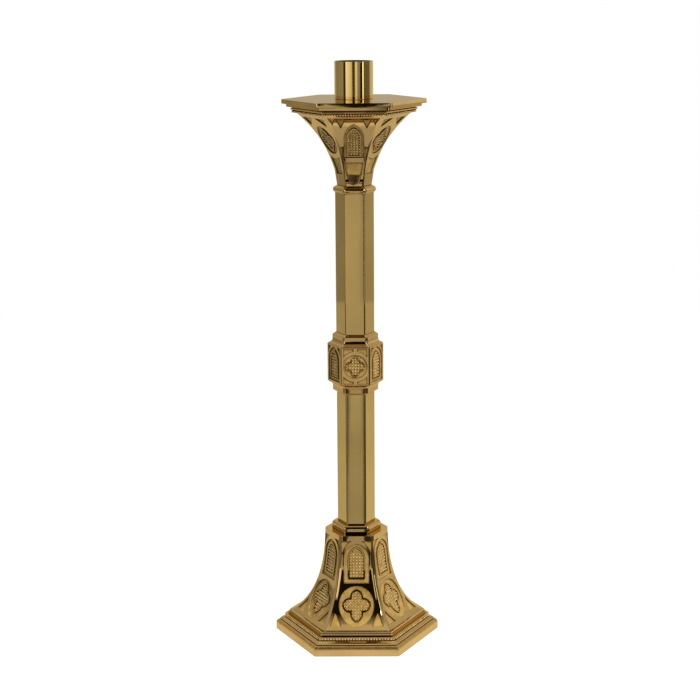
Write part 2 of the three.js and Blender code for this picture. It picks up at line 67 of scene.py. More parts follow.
def pick(*pieces):
    leaveAll()
    for piece in pieces:
        piece.select_set(True)
    bpy.context.view_layer.objects.active = pieces[0]


def settle(piece):
    # its place, turn and size go into its mesh
    pick(piece)
    bpy.ops.object.transform_apply(location=True, rotation=True, scale=True)
    return piece


def openMesh(piece, select="SELECT", mode="VERT"):
    pick(piece)
    bpy.ops.object.mode_set(mode="EDIT")
    bpy.ops.mesh.select_mode(type=mode)
    bpy.ops.mesh.select_all(action=select)


def closeMesh():
    bpy.ops.mesh.select_all(action="SELECT")
    bpy.ops.mesh.normals_make_consistent(inside=False)
    bpy.ops.object.mode_set(mode="OBJECT")


def apply(piece, kind, **settings):
    modifier = piece.modifiers.new("work", kind)
    for key, value in settings.items():
        setattr(modifier, key, value)
    pick(piece)
    bpy.ops.object.modifier_apply(modifier=modifier.name)
    return piece


def cut(body, tool, how="DIFFERENCE"):
    # the faces that a tool leaves behind keep the tool's finish
    apply(body, "BOOLEAN", operation=how, solver="MANIFOLD", material_mode="TRANSFER", object=tool)
    bpy.data.objects.remove(tool)
    return body


def joined(pieces, name):
    pick(*pieces)
    if len(pieces) > 1:
        bpy.ops.object.join()
    pieces[0].name = pieces[0].data.name = name
    return pieces[0]


def coat(piece, finish):
    piece.data.materials.clear()
    piece.data.materials.append(finish)
    return piece


def stackRings(name, profile, foot, finish, sides=hexagon):
    # a polygon drawn at the foot, pulled up and scaled from height to height
    leaveAll()
    bpy.ops.mesh.primitive_circle_add(
        vertices=sides, radius=profile[0][0] * mm, fill_type="NGON",
        location=(0, 0, foot + profile[0][1] * mm), rotation=(0, 0, math.pi / 2),
    )
    piece = settle(bpy.context.object)
    piece.name = name
    openMesh(piece)
    for (fromRadius, fromHeight), (radius, height) in zip(profile, profile[1:]):
        rise = (height - fromHeight) * mm
        bpy.ops.mesh.extrude_region_move(TRANSFORM_OT_translate={"value": (0, 0, rise)})
        if radius != fromRadius:
            grow = radius / fromRadius
            bpy.ops.transform.resize(value=(grow, grow, 1), center_override=(0, 0, foot + height * mm))
    closeMesh()
    return coat(piece, finish)


def roundArrises(piece, width, steps=4):
    # the six upright corners, buffed round: an upright edge keeps its bearing and isn't a doubled point
    openMesh(piece, "DESELECT", "EDGE")
    bpy.ops.object.mode_set(mode="OBJECT")
    points = piece.data.vertices
    for edge in piece.data.edges:
        low, high = (points[i].co for i in edge.vertices)
        turn = abs(math.atan2(low.y, low.x) - math.atan2(high.y, high.x))
        edge.select = turn < 0.001 and (low - high).length > 1e-7
    bpy.ops.object.mode_set(mode="EDIT")
    bpy.ops.mesh.bevel(offset=width * mm, segments=steps, affect="EDGES", clamp_overlap=True)
    closeMesh()
    return piece


def softenEdges(piece, width, angle=32, steps=2):
    return apply(
        piece, "BEVEL", width=width * mm, segments=steps, limit_method="ANGLE",
        angle_limit=math.radians(angle), use_clamp_overlap=True, miter_outer="MITER_ARC",
    )


def shadeSmooth(piece, angle=24):
    pick(piece)
    bpy.ops.object.shade_smooth_by_angle(angle=math.radians(angle))
    return apply(piece, "WEIGHTED_NORMAL", mode="FACE_AREA", weight=50, keep_sharp=True)


def drawOutline(name, outline, face, finish):
    # drawn on the front face's plane: a pair is a line to (across, height), three numbers an arc
    # about (across, height) by so many degrees, then the closed outline is pushed through the face
    leaveAll()
    (across, height), strokes = outline
    near, far = face["span"]
    lift = face["foot"] / mm
    start = (across * mm, -near * mm, (height + lift) * mm)
    bpy.ops.mesh.primitive_plane_add(size=mm, location=start)
    piece = settle(bpy.context.object)
    piece.name = name
    openMesh(piece)
    bpy.ops.mesh.merge(type="CENTER")
    bpy.ops.mesh.select_all(action="SELECT")
    for stroke in strokes:
        if len(stroke) == 2:
            step = ((stroke[0] - across) * mm, 0, (stroke[1] - height) * mm)
            bpy.ops.mesh.extrude_vertices_move(TRANSFORM_OT_translate={"value": step})
            across, height = stroke
        else:
            middle, level, degrees = stroke
            turn = math.radians(degrees)
            bpy.ops.mesh.spin(
                steps=max(2, round(abs(degrees) / drawing["arcStep"])), angle=abs(turn),
                center=(middle * mm, -near * mm, (level + lift) * mm), axis=(0, math.copysign(1, turn), 0),
            )
            out, up = across - middle, height - level
            across = middle + out * math.cos(turn) - up * math.sin(turn)
            height = level + out * math.sin(turn) + up * math.cos(turn)
    bpy.ops.mesh.select_all(action="SELECT")
    bpy.ops.mesh.remove_doubles(threshold=drawing["weld"] * mm)
    bpy.ops.mesh.edge_face_add()
    bpy.ops.mesh.extrude_region_move(TRANSFORM_OT_translate={"value": (0, (near - far) * mm, 0)})
    closeMesh()
    return coat(piece, finish)


def roundTheStem(piece, faces, name):
    # copies of what is made on the front face, turned to the other faces
    copies = []
    for face in faces:
        pick(piece)
        bpy.ops.object.duplicate()
        copy = bpy.context.object
        bpy.ops.transform.rotate(value=face * math.pi / 3, orient_axis="Z", center_override=(0, 0, 0))
        copies.append(settle(copy))
    bpy.data.objects.remove(piece)
    return joined(copies, name)


# Profiles: pairs of radius and height, from the foot up

def sweepCurve(start, startHandle, endHandle, end, steps):
    points = interpolate_bezier(*[Vector(point) for point in (start, startHandle, endHandle, end)], steps + 1)
    return [(point.x, point.y) for point in points]


def quarterRound(radius, height, depth, rise, steps=8):
    # convex, from an upright start to a level end
    points = []
    for step in range(steps + 1):
        turn = step / steps * math.pi / 2
        points.append((radius - depth * (1 - math.cos(turn)), height + rise * math.sin(turn)))
    return points


def halfRound(radius, height, bulge, rise, steps=14):
    points = []
    for step in range(steps + 1):
        turn = step / steps * math.pi
        points.append((radius + bulge * math.sin(turn), height + rise / 2 * (1 - math.cos(turn))))
    return points


def sunk(profile, depth):
    # the profile moved inwards, square to the casting's faces
    points = []
    for i, (radius, height) in enumerate(profile):
        before, after = profile[max(i - 1, 0)], profile[min(i + 1, len(profile) - 1)]
        lean = math.atan2((after[0] - before[0]) * flat, after[1] - before[1])
        points.append((radius - depth * math.cos(lean) / flat, height + depth * math.sin(lean)))
    return points


# Outlines: a start, then strokes as drawOutline takes them

def lancet(half, foot, spring, apex):
    rise = apex - spring
    radius = (half * half + rise * rise) / (2 * half)
    turn = math.degrees(math.asin(rise / radius))
    arcs = [(half - radius, spring, turn), (radius - half, spring, turn)]
    return (-half, foot), [(half, foot), (half, spring), *arcs, (-half, foot)]


def corners(*points):
    return points[0], [*points[1:], points[0]]


def box(half, foot, top):
    return corners((-half, foot), (half, foot), (half, top), (-half, top))


def taper(footHalf, topHalf, foot, top):
    return corners((-footHalf, foot), (footHalf, foot), (topHalf, top), (-topHalf, top))


def mirrored(outline):
    # for straight strokes
    start, strokes = outline
    return (-start[0], start[1]), [(-across, height) for across, height in strokes]


def quatrefoil(reach, lobe, height, point):
    # four lobes, each of two arcs that meet in a slight point
    radius = lobe + point
    offset = reach - math.sqrt(radius ** 2 - point ** 2)
    gap = offset - point
    cusp = (gap + math.sqrt(gap ** 2 - 2 * (point ** 2 + offset ** 2 - radius ** 2))) / 2
    turn = math.degrees(math.atan2(reach - offset, point) - math.atan2(cusp - offset, cusp + point))
    strokes = []
    for quarter in range(4):
        c, s = round(math.cos(quarter * math.pi / 2)), round(math.sin(quarter * math.pi / 2))
        for side in (-point, point):
            strokes.append((side * c - offset * s, height + side * s + offset * c, turn))
    return (cusp, height + cusp), strokes


# Colours and finishes

def colour(code):
    # sRGB hex to linear
    parts = [int(code[i:i + 2], 16) / 255 for i in (1, 3, 5)]
    linear = [p / 12.92 if p <= 0.04045 else ((p + 0.055) / 1.055) ** 2.4 for p in parts]
    return (*linear, 1)


def grey(level):
    return level, level, level, 1


def grain(size):
    # noise scale for a feature of so many millimetres
    return 1 / (size * mm)


def liveOutput(made):
    return next(socket for socket in made.outputs if socket.enabled)


def addNode(tree, kind, inputs=(), **settings):
    # inputs in their order, or by name or number; a node among them passes on its first live output
    made = tree.nodes.new("ShaderNode" + kind)
    for key, value in settings.items():
        setattr(made, key, value)
    for key, value in inputs.items() if isinstance(inputs, dict) else enumerate(inputs):
        if isinstance(value, bpy.types.Node):
            value = liveOutput(value)
        if isinstance(value, bpy.types.NodeSocket):
            tree.links.new(value, made.inputs[key])
        else:
            made.inputs[key].default_value = value
    return made


def setStops(ramp, stops):
    line = ramp.color_ramp.elements
    line.remove(line[1])
    line[0].position, line[0].color = stops[0]
    for position, tint in stops[1:]:
        line.new(position).color = tint
    return ramp


brassEdge = (1, 0.88, 0.62, 1)  # brass keeps some of its colour at a glancing angle
# painted shade in hollows and corners: the less open a spot is, the nearer its tone comes to the dark tone
creviceShade = dict(bare=(0.5, 0.86), samples=8)  # how open a spot is where its tone is dark, and where bare


def newFinish(name, facts):
    finish = bpy.data.materials.new(name)
    finish.use_nodes = True
    tree = finish.node_tree
    shader = tree.nodes["Principled BSDF"]
    shader.inputs["Metallic"].default_value = facts.get("metallic", 1.0)
    shader.inputs["Specular Tint"].default_value = facts.get("edge", brassEdge)
    return finish, tree, addNode(tree, "TexCoord").outputs["Object"]


def addPatterns(tree, place, *patterns):
    # soft noise, each pattern given by the size of its features and by its detail
    return [
        addNode(tree, "TexNoise", {"Vector": place, "Scale": grain(size), "Detail": detail})
        for size, detail in patterns
    ]


def dress(tree, facts, clouds, marks, relief):
    # colour from one pattern, shine from a second and relief from a third
    tints = (colour(facts["deep"]), colour(facts["light"]))
    tone = setStops(addNode(tree, "ValToRGB", {"Fac": clouds}), list(zip(facts["blend"], tints)))
    if "dark" in facts:
        # painted shade: darker in the corners of the relief, where the light doesn't reach, and some tarnish
        # where the wheel doesn't go
        reach = {"Distance": facts["reach"] * mm}
        openness = addNode(tree, "AmbientOcclusion", reach, samples=creviceShade["samples"]).outputs["AO"]
        bare = addNode(tree, "MapRange", (openness, *creviceShade["bare"]))
        tone = addNode(tree, "Mix", {"Factor": bare, 6: colour(facts["dark"]), 7: tone}, data_type="RGBA")
    shine = addNode(tree, "MapRange", (marks, *facts["spread"], *facts["rough"]))
    strength, depth = facts["relief"]
    bump = addNode(tree, "Bump", {"Height": relief, "Strength": strength, "Distance": depth * mm})
    shader = tree.nodes["Principled BSDF"]
    for name, made in (("Base Color", tone), ("Roughness", shine), ("Normal", bump)):
        tree.links.new(liveOutput(made), shader.inputs[name])


# Cast brass, ground and buffed to a mirror, then lacquered: sharp reflections that waver a little
# where the wheel has followed the form, and a haze of fine wiping marks.
# dark: the tone of the painted shade in the corners of the relief
buffed = dict(
    light="#D0AC6D", deep="#C5A165", dark="#4C3217", reach=2, blend=(0.35, 0.65), clouds=(60, 3),
    wiping=(9, 5), streaks=0.7, wave=(26, 1), spread=(0.3, 0.7), rough=(0.02, 0.055), relief=(1, 0.01),
)


def makeBuffedBrass():
    finish, tree, place = newFinish("buffedBrass", buffed)
    clouds, wiping, wave = addPatterns(tree, place, buffed["clouds"], buffed["wiping"], buffed["wave"])
    wiping.inputs["Roughness"].default_value = buffed["streaks"]
    dress(tree, buffed, clouds, wiping, wave)
    return finish


# The same casting in its recesses, left as it came from fine sand: a matt, grainy gold.
# The grain is drawn at half a millimetre, coarser than real, so that it shows.
# dark: the tone of the painted shade in the corners of the sunk grounds
sandCast = dict(
    light="#C6A55C", deep="#A88240", dark="#5C3B19", reach=3, blend=(0.3, 0.62), clouds=(14, 6),
    grit=(0.55, 3), metallic=0.4, spread=(0.3, 0.7), rough=(0.34, 0.48), relief=(0.8, 0.05),
)

# Studs and beads: cast with the body and only brushed over, bright on top and soft at the edges.
# dark: the tone of the painted shade in the gaps between studs and between beads
brushed = dict(
    light="#E6CB8A", deep="#BE9852", dark="#3A220C", reach=2.8, blend=(0.32, 0.6), clouds=(5, 4),
    grit=(0.8, 2), metallic=0.5, spread=(0.3, 0.7), rough=(0.18, 0.28), relief=(0.6, 0.02),
)

# Plinth moulding: the same casting taken only to a satin, so that reflections blur.
# dark: the tone of the painted shade in the moulding's corners
satin = dict(
    light="#CDA667", deep="#B8924F", dark="#3E2912", reach=2, blend=(0.32, 0.6), clouds=(8, 4),
    grit=(0.9, 2), spread=(0.3, 0.7), rough=(0.24, 0.36), relief=(0.6, 0.015),
)


def makeGrainyBrass(name, facts):
    # the grain makes both the shine and the relief
    finish, tree, place = newFinish(name, facts)
    clouds, grit = addPatterns(tree, place, facts["clouds"], facts["grit"])
    dress(tree, facts, clouds, grit, grit)
    return finish


# Drawn brass tube, polished lengthwise: a mirror with the faintest upright lines from the die.
drawn = dict(
    light="#CDAE69", deep="#C4A563", blend=(0.35, 0.65), clouds=(90, 2), lines=(2.5, 3), stretch=0.02,
    spread=(0.3, 0.7), rough=(0.03, 0.06), relief=(1, 0.0008),
)


def makeDrawnBrass():
    finish, tree, place = newFinish("drawnBrass", drawn)
    along = addNode(tree, "Mapping", {"Vector": place, "Scale": (1, 1, drawn["stretch"])})
    clouds, = addPatterns(tree, place, drawn["clouds"])
    lines, = addPatterns(tree, along, drawn["lines"])
    dress(tree, drawn, clouds, lines, lines)
    return finish


# Brass turned on a lathe and left from the tool: fine rings about the axis.
turned = dict(
    light="#CBAA63", deep="#B3924F", blend=(0, 1), ring=0.6, waver=0.4, detail=2, spread=(0, 1),
    rough=(0.18, 0.34), relief=(0.5, 0.02),
)


def makeTurnedBrass():
    finish, tree, place = newFinish("turnedBrass", turned)
    rings = addNode(tree, "TexWave", {
        "Vector": place, "Scale": grain(turned["ring"]) / math.tau, "Distortion": turned["waver"],
        "Detail": turned["detail"],
    }, wave_type="RINGS", rings_direction="Z").outputs["Fac"]
    dress(tree, turned, rings, rings, rings)
    return finish


# Mild steel, zinc plated: a cool grey with faint spangle, and a little duller where it was handled.
zinc = dict(
    light="#B9BBB8", deep="#8F938F", edge=grey(1), blend=(0, 0.4), spangle=3, clouds=(18, 4), spread=(0, 1),
    rough=(0.28, 0.46), relief=(0.5, 0.01),
)


def makeZincSteel():
    finish, tree, place = newFinish("zincPlatedSteel", zinc)
    spangle = addNode(tree, "TexVoronoi", {"Vector": place, "Scale": grain(zinc["spangle"])})
    clouds, = addPatterns(tree, place, zinc["clouds"])
    mottle = addNode(tree, "Math", (spangle, clouds), operation="MULTIPLY")
    dress(tree, zinc, mottle, clouds, clouds)
    return finish


buffedBrass = makeBuffedBrass()
sandCastBrass = makeGrainyBrass("sandCastBrass", sandCast)
brushedBrass = makeGrainyBrass("brushedBrass", brushed)
satinBrass = makeGrainyBrass("satinBrass", satin)
drawnBrass = makeDrawnBrass()
turnedBrass = makeTurnedBrass()
zincSteel = makeZincSteel()
print("finishes made")


# What the pieces share

def place(piece, body, slot, *nodes):
    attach(piece, body)
    if nodes:
        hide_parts(*nodes)
    return piece


def coatBand(piece, finish, low, high):
    # another finish on the faces between two heights
    piece.data.materials.append(finish)
    for face in piece.data.polygons:
        if low < face.center.z / mm < high:
            face.material_index = len(piece.data.materials) - 1


def footOf(node, below=0):
    # foot of a casting, whose node may reach lower by the length of a spigot
    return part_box(node)[0].z + below * mm


def bore(body, foot, *bars):
    # each bar: number of sides, radius, from, to
    for sides, radius, low, high in bars:
        cut(body, stackRings("bar", [(radius, low), (radius, high)], foot, sandCastBrass, sides))


def boss(body, foot, *bars):
    for sides, radius, low, high in bars:
        cut(body, stackRings("bar", [(radius, low), (radius, high)], foot, sandCastBrass, sides), "UNION")


def hexBody(name, profile, foot, facts, finish):
    body = stackRings(name, profile, foot, finish)
    roundArrises(body, facts["arris"])
    return softenEdges(body, facts["edge"])


def hexCasting(name, node, profile, facts, bosses=(), bores=(), below=0, finish=buffedBrass):
    foot = footOf(node, below)
    body = hexBody(name, profile, foot, facts, finish)
    boss(body, foot, *bosses)
    bore(body, foot, *bores)
    return place(shadeSmooth(body), "stand", "polished_brass", node)


# Carved faces. A face holds the casting's profile and foot, the depth of its grounds, the width of its
# rims, and how near to the axis and how far from it a tool on it reaches.
# A rim's top lies just under the polished face and its root under the ground. Its inner outline is drawn
# in by its width, but at a lancet's point and at a quatrefoil's lobes by these shares of it.
rimSeat = dict(under=0.12, rooted=0.3, apex=1.3, lobe=0.8)
# A stud fills this share of its pitch, and its top this share of its foot.
stud = dict(fill=0.8, top=0.4, height=1.9, sunk=0.2, edge=0.5, bevel=20, smooth=30)


def carvedFace(facts, profile, foot):
    return dict(profile=profile, foot=foot, depth=facts["depth"], rim=facts["rim"], span=facts["span"])


def surfaceAt(face, height):
    # distance from the axis, height and lean of the ground under a height on the face
    profile, depth = face["profile"], face["depth"]
    for (r0, z0), (r1, z1) in zip(profile, profile[1:]):
        if z0 <= height <= z1 and z1 > z0:
            radius = r0 + (r1 - r0) * (height - z0) / (z1 - z0)
            lean = math.atan2((r1 - r0) * flat, z1 - z0)
            return radius * flat - depth * math.cos(lean), height + depth * math.sin(lean), lean


def inset(face, depth, finish=buffedBrass):
    # the casting, smaller all round by a depth
    return stackRings("inset", sunk(face["profile"], depth), face["foot"], finish)


def repeat(piece, count, pitch):
    return apply(
        piece, "ARRAY", count=count, use_relative_offset=False, use_constant_offset=True,
        constant_offset_displace=(pitch * mm, 0, 0),
    )


def makeStuds(name, face, outline, studs, low, high):
    # one stud, then a row of them, then a row at each height, trimmed to the field's outline
    leaveAll()
    across, pitch, rise = studs
    corner = stud["fill"] / math.sqrt(2)
    bpy.ops.mesh.primitive_cone_add(
        vertices=4, radius1=corner * pitch * mm, radius2=corner * pitch * stud["top"] * mm,
        depth=stud["height"] * mm, location=(0, 0, (stud["height"] / 2 - stud["sunk"]) * mm),
        rotation=(0, 0, math.pi / 4),
    )
    row = settle(bpy.context.object)
    apply(
        row, "BEVEL", width=stud["edge"] * mm, segments=2, limit_method="ANGLE",
        angle_limit=math.radians(stud["bevel"]),
    )
    row.location.x = -(across - 1) / 2 * pitch * mm
    repeat(settle(row), across, pitch)
    rows = []
    for step in range(math.floor((high - low) / rise)):
        out, up, lean = surfaceAt(face, low + (step + 0.5) * rise)
        pick(row)
        bpy.ops.object.duplicate()
        copy = bpy.context.object
        copy.scale = (1, rise / pitch / math.cos(lean), 1)
        copy.rotation_euler = (math.pi / 2 + lean, 0, 0)
        copy.location = (0, -out * mm, face["foot"] + up * mm)
        rows.append(settle(copy))
    bpy.data.objects.remove(row)
    field = coat(joined(rows, name), brushedBrass)
    return cut(field, drawOutline("trim", outline, face, brushedBrass), "INTERSECT")


def makeRim(name, face, outer, inner):
    # a band that follows an outline, from under the sunk ground up to just under the polished face
    band = drawOutline(name, outer, face, buffedBrass)
    cut(band, drawOutline("inside", inner, face, buffedBrass))
    cut(band, inset(face, rimSeat["under"]), "INTERSECT")
    return cut(band, inset(face, face["depth"] + rimSeat["rooted"]))


def lancetField(face, arch, studs):
    # rim and studs of a lancet; studs: number across, pitch across, pitch up
    half, foot, spring, apex = arch
    rim = face["rim"]
    inner = (half - rim, foot + rim, spring, apex - rim * rimSeat["apex"])
    return (
        makeRim("lancetRim", face, lancet(*arch), lancet(*inner)),
        makeStuds("lancetStuds", face, lancet(*inner), studs, inner[1], inner[3]),
    )


def foilField(face, foil, studs):
    # rim and studs of a quatrefoil; foil: reach, lobe, height, point
    reach, lobe, height, point = foil
    half = reach - face["rim"]
    inner = quatrefoil(half, lobe - face["rim"] * rimSeat["lobe"], height, point)
    return (
        makeRim("foilRim", face, quatrefoil(*foil), inner),
        makeStuds("foilStuds", face, inner, studs, height - half, height + half),
    )


def placeOrnament(name, faces, *fields):
    rims, studs = zip(*fields)
    rims = shadeSmooth(roundTheStem(joined(rims, "rims"), faces, name + "_rims"))
    studs = shadeSmooth(roundTheStem(joined(studs, "studs"), faces, name + "_studs"), stud["smooth"])
    for piece in (rims, studs):
        place(piece, "stand", "polished_brass")


def outlineTool(outline, face):
    return drawOutline("tool", outline, face, sandCastBrass)


def pairTool(outline, face):
    return joined([outlineTool(side, face) for side in (outline, mirrored(outline))], "tool")


def discTool(radius, height, face):
    # a round outline pushed through the face
    leaveAll()
    near, far = face["span"]
    bpy.ops.mesh.primitive_cylinder_add(
        vertices=drawing["discSides"], radius=radius * mm, depth=(far - near) * mm,
        location=(0, -(near + far) / 2 * mm, face["foot"] + height * mm), rotation=(math.pi / 2, 0, 0),
    )
    return coat(settle(bpy.context.object), sandCastBrass)


def sink(body, face, tools, faces):
    # what the tools cover on the front face goes down to the ground, there and on the faces named
    tool = tools[0]
    for other in tools[1:]:
        cut(tool, other, "UNION")
    cut(tool, inset(face, face["depth"], sandCastBrass))
    return cut(body, roundTheStem(tool, faces, "sinking"))


# Beads nearly touch: the radius is this share of the pitch.
beads = dict(segments=10, rings=7, share=0.45, smooth=60)


def makeBeads(name, radius, height, pitch, node):
    # a string of round beads on each face
    leaveAll()
    count = round(radius / pitch) - 1
    bpy.ops.mesh.primitive_uv_sphere_add(
        segments=beads["segments"], ring_count=beads["rings"], radius=beads["share"] * pitch * mm,
        location=(-(count - 1) / 2 * pitch * mm, -radius * flat * mm, footOf(node) + height * mm),
    )
    row = repeat(settle(bpy.context.object), count, pitch)
    string = roundTheStem(coat(row, brushedBrass), allFaces, name)
    return place(shadeSmooth(string, beads["smooth"]), "stand", "polished_brass")


# Foot of the base: slab with a rounded moulding, then the beaded string course
plinth = dict(
    radius=154.3, slab=13, ledge=0.4, depth=7.1, rise=6, rim=143.9, flange=118, arris=1.6, edge=0.5,
    margin=0.3,
)


def makePlinth():
    p = plinth
    top = p["slab"] + p["rise"]
    moulding = quarterRound(p["radius"] - p["ledge"], p["slab"], p["depth"], p["rise"])
    slab = hexCasting(
        "plinth", "base_plinth", [(p["radius"], 0), (p["radius"], p["slab"]), *moulding], p,
        bores=((hexagon, p["rim"], -clear, p["slab"]), (hexagon, p["flange"], -clear, top + clear)),
    )
    coatBand(slab, satinBrass, p["slab"] + p["margin"], top - p["margin"])


stringCourse = dict(
    foot=146.6, footTop=2.7, slopeDepth=6.8, slopeTop=5.6, sill=2.4, wallTop=12, fillet=131.2, filletTop=16.2,
    top=128.8, height=20, chamfer=1, arris=1.6, edge=0.35, flange=118, beadHeight=8.1, beadPitch=5.25,
)


def makeStringCourse():
    s = stringCourse
    slope = s["foot"] - s["slopeDepth"]
    wall = slope - s["sill"]
    profile = [
        (s["foot"], 0), (s["foot"], s["footTop"]), (slope, s["slopeTop"]), (wall, s["slopeTop"]),
        (wall, s["wallTop"]), (s["fillet"], s["wallTop"]), (s["fillet"], s["filletTop"]),
        (s["top"], s["filletTop"]), (s["top"], s["height"] - s["chamfer"]),
        (s["top"] - s["chamfer"], s["height"]),
    ]
    hexCasting(
        "stringCourse", "base_string_course", profile, s,
        bores=((hexagon, s["flange"], -clear, s["height"] + clear),),
    )
    makeBeads("string_beads", wall, s["beadHeight"], s["beadPitch"], "base_string_course")


# Bell of the base
bell = dict(
    curve=((124.2, 0), (80.8, 26.9), (61.4, 82.6), (60.2, 164)), steps=44, arris=5.4, edge=0.8, height=164,
    wall=5, ceiling=158, register=20.3, registerDepth=3.3, depth=2.4, span=(42, 190), rim=1.7,
    lancet=(23.9, 75.2, 121, 149.1), field=(15.2, 82.7, 121, 143.3), paneStuds=(5, 5.8, 5.8),
    medallion=33, medallionHeight=37.8, foil=(26.2, 11.4, 37.8, 2.0), foilStuds=(10, 5.3, 4.75),
    triangle=((28, 5.4), (50, 5.4), (39.4, 27)), spandrel=(28.2, 129, 154), arch=(27, 75, 121, 158),
)


def makeBell():
    b = bell
    foot = footOf("base_bell")
    profile = sweepCurve(*b["curve"], b["steps"])
    face = carvedFace(b, profile, foot)
    body = hexBody("bell", profile, foot, b, buffedBrass)
    spandrels = cut(outlineTool(box(*b["spandrel"]), face), outlineTool(lancet(*b["arch"]), face))
    sink(body, face, [
        outlineTool(lancet(*b["lancet"]), face),
        discTool(b["medallion"], b["medallionHeight"], face),
        pairTool(corners(*b["triangle"]), face),
        spandrels,
    ], allFaces)
    inside = [point for point in sunk(profile, b["wall"]) if 0 < point[1] < b["ceiling"]]
    inside = [(inside[0][0], -clear), *inside, (inside[-1][0], b["ceiling"])]
    cut(body, stackRings("hollow", inside, foot, sandCastBrass))
    bore(
        body, foot, (coarse, rodHole, b["ceiling"] - clear, b["height"]),
        (fine, b["register"], b["height"] - b["registerDepth"], b["height"] + clear),
    )
    place(shadeSmooth(body), "stand", "polished_brass", "base_bell")
    placeOrnament(
        "bell", allFaces,
        lancetField(face, b["field"], b["paneStuds"]), foilField(face, b["foil"], b["foilStuds"]),
    )


# Collar on the bell, and the two columns
baseCollar = dict(
    radius=46.5, band=8, depth=6, rise=6.5, spigot=32.07, reach=15, register=20, registerDepth=3,
    arris=3, edge=0.5,
)


def makeBaseCollar():
    c = baseCollar
    top = c["band"] + c["rise"]
    ovolo = quarterRound(c["radius"], c["band"], c["depth"], c["rise"])
    hexCasting(
        "baseCollar", "base_collar", [(c["radius"], 0), *ovolo], c, below=c["registerDepth"],
        bosses=(
            (hexagon, c["spigot"], top - clear, top + c["reach"]),
            (coarse, c["register"], -c["registerDepth"], clear),
        ),
        bores=((coarse, rodHole, -c["registerDepth"] - clear, top + c["reach"] + clear),),
    )


column = dict(radius=35.3, bore=32.41, arris=2.0, edge=0.25)


def makeColumn(name, node):
    low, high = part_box(node)
    length = (high.z - low.z) / mm
    hexCasting(
        name, node, [(column["radius"], 0), (column["radius"], length)], column,
        bores=((hexagon, column["bore"], -clear, length + clear),), finish=drawnBrass,
    )


# Rings under and over the knop, one casting used both ways up
ring = dict(
    foot=37, chamfer=4, cove=((42.8, 9), (42.8, 17.4), (45.6, 17.4), (50.6, 19.8)), steps=10, radius=50.9,
    height=20.5, spigot=32.07, reach=15, plug=44.6, plugHeight=3, arris=3.4, edge=0.3,
)


def makeKnopRing(name, node, turnedOver):
    r = ring
    height = r["height"]
    cove = sweepCurve(*r["cove"], r["steps"])
    profile = [
        (r["foot"], 0), (cove[0][0], r["chamfer"]), *cove, (r["radius"], cove[-1][1]), (r["radius"], height),
    ]
    bars = [
        (hexagon, r["spigot"], -r["reach"], clear),
        (hexagon, r["plug"], height - clear, height + r["plugHeight"]),
    ]
    below = r["reach"]
    if turnedOver:
        profile = [(out, height - up) for out, up in reversed(profile)]
        bars = [(sides, radius, height - high, height - low) for sides, radius, low, high in bars]
        below = r["plugHeight"]
    through = r["reach"] + clear
    hexCasting(
        name, node, profile, r, below=below, bosses=bars,
        bores=((coarse, rodHole, -through, height + through),),
    )


# Knop: medallions and lancets in turn
knop = dict(
    radius=51.9, height=71, chamfer=1, bore=44.97, arris=2.2, edge=0.4, depth=2.2, span=(36, 70), rim=0.9,
    medallion=22, border=27.9, foil=(18.4, 8.2, 35.5, 1.2), foilStuds=(7, 5.3, 5.6),
    frame=(21.7, 2.5, 68.5), web=3, lancet=(20.6, 4, 43, 68.6), field=(12.3, 9, 43, 61),
    paneStuds=(4, 5.6, 5.5), arch=(23, 4, 43, 73), spandrelFoot=52,
)


def makeKnop():
    k = knop
    foot, radius, height, chamfer = footOf("knop"), k["radius"], k["height"], k["chamfer"]
    face = carvedFace(k, [(radius, -clear), (radius, height + clear)], foot)
    body = hexBody("knop_body", [
        (radius - chamfer, 0), (radius, chamfer), (radius, height - chamfer), (radius - chamfer, height),
    ], foot, k, buffedBrass)
    frames = cut(outlineTool(box(*k["frame"]), face), discTool(k["border"], height / 2, face))
    cut(frames, outlineTool(box(k["web"], -clear, height + clear), face))
    sink(body, face, [discTool(k["medallion"], height / 2, face), frames], frontFaces)
    half, high = k["frame"][0], k["frame"][2]
    spandrels = outlineTool(box(half, k["spandrelFoot"], high), face)
    cut(spandrels, outlineTool(lancet(*k["arch"]), face))
    sink(body, face, [outlineTool(lancet(*k["lancet"]), face), spandrels], sideFaces)
    bore(body, foot, (hexagon, k["bore"], -clear, height + clear))
    place(shadeSmooth(body), "stand", "polished_brass", "knop")
    placeOrnament("knop_medallion", frontFaces, foilField(face, k["foil"], k["foilStuds"]))
    placeOrnament("knop_lancet", sideFaces, lancetField(face, k["field"], k["paneStuds"]))


# Rounded collar under the capital
headCollar = dict(
    fillet=36.5, filletTop=2, bulge=3.5, bead=10, top=33.5, height=14, spigot=32.07, reach=15, register=20,
    registerDepth=3, arris=4.5, edge=0.4,
)


def makeHeadCollar():
    c = headCollar
    top = c["height"] + c["registerDepth"]
    astragal = halfRound(c["fillet"], c["filletTop"], c["bulge"], c["bead"])
    hexCasting(
        "headCollar", "head_collar", [(c["fillet"], 0), *astragal, (c["top"], c["height"])], c,
        below=c["reach"],
        bosses=(
            (hexagon, c["spigot"], -c["reach"], clear), (coarse, c["register"], c["height"] - clear, top),
        ),
        bores=((coarse, rodHole, -c["reach"] - clear, top + clear),),
    )


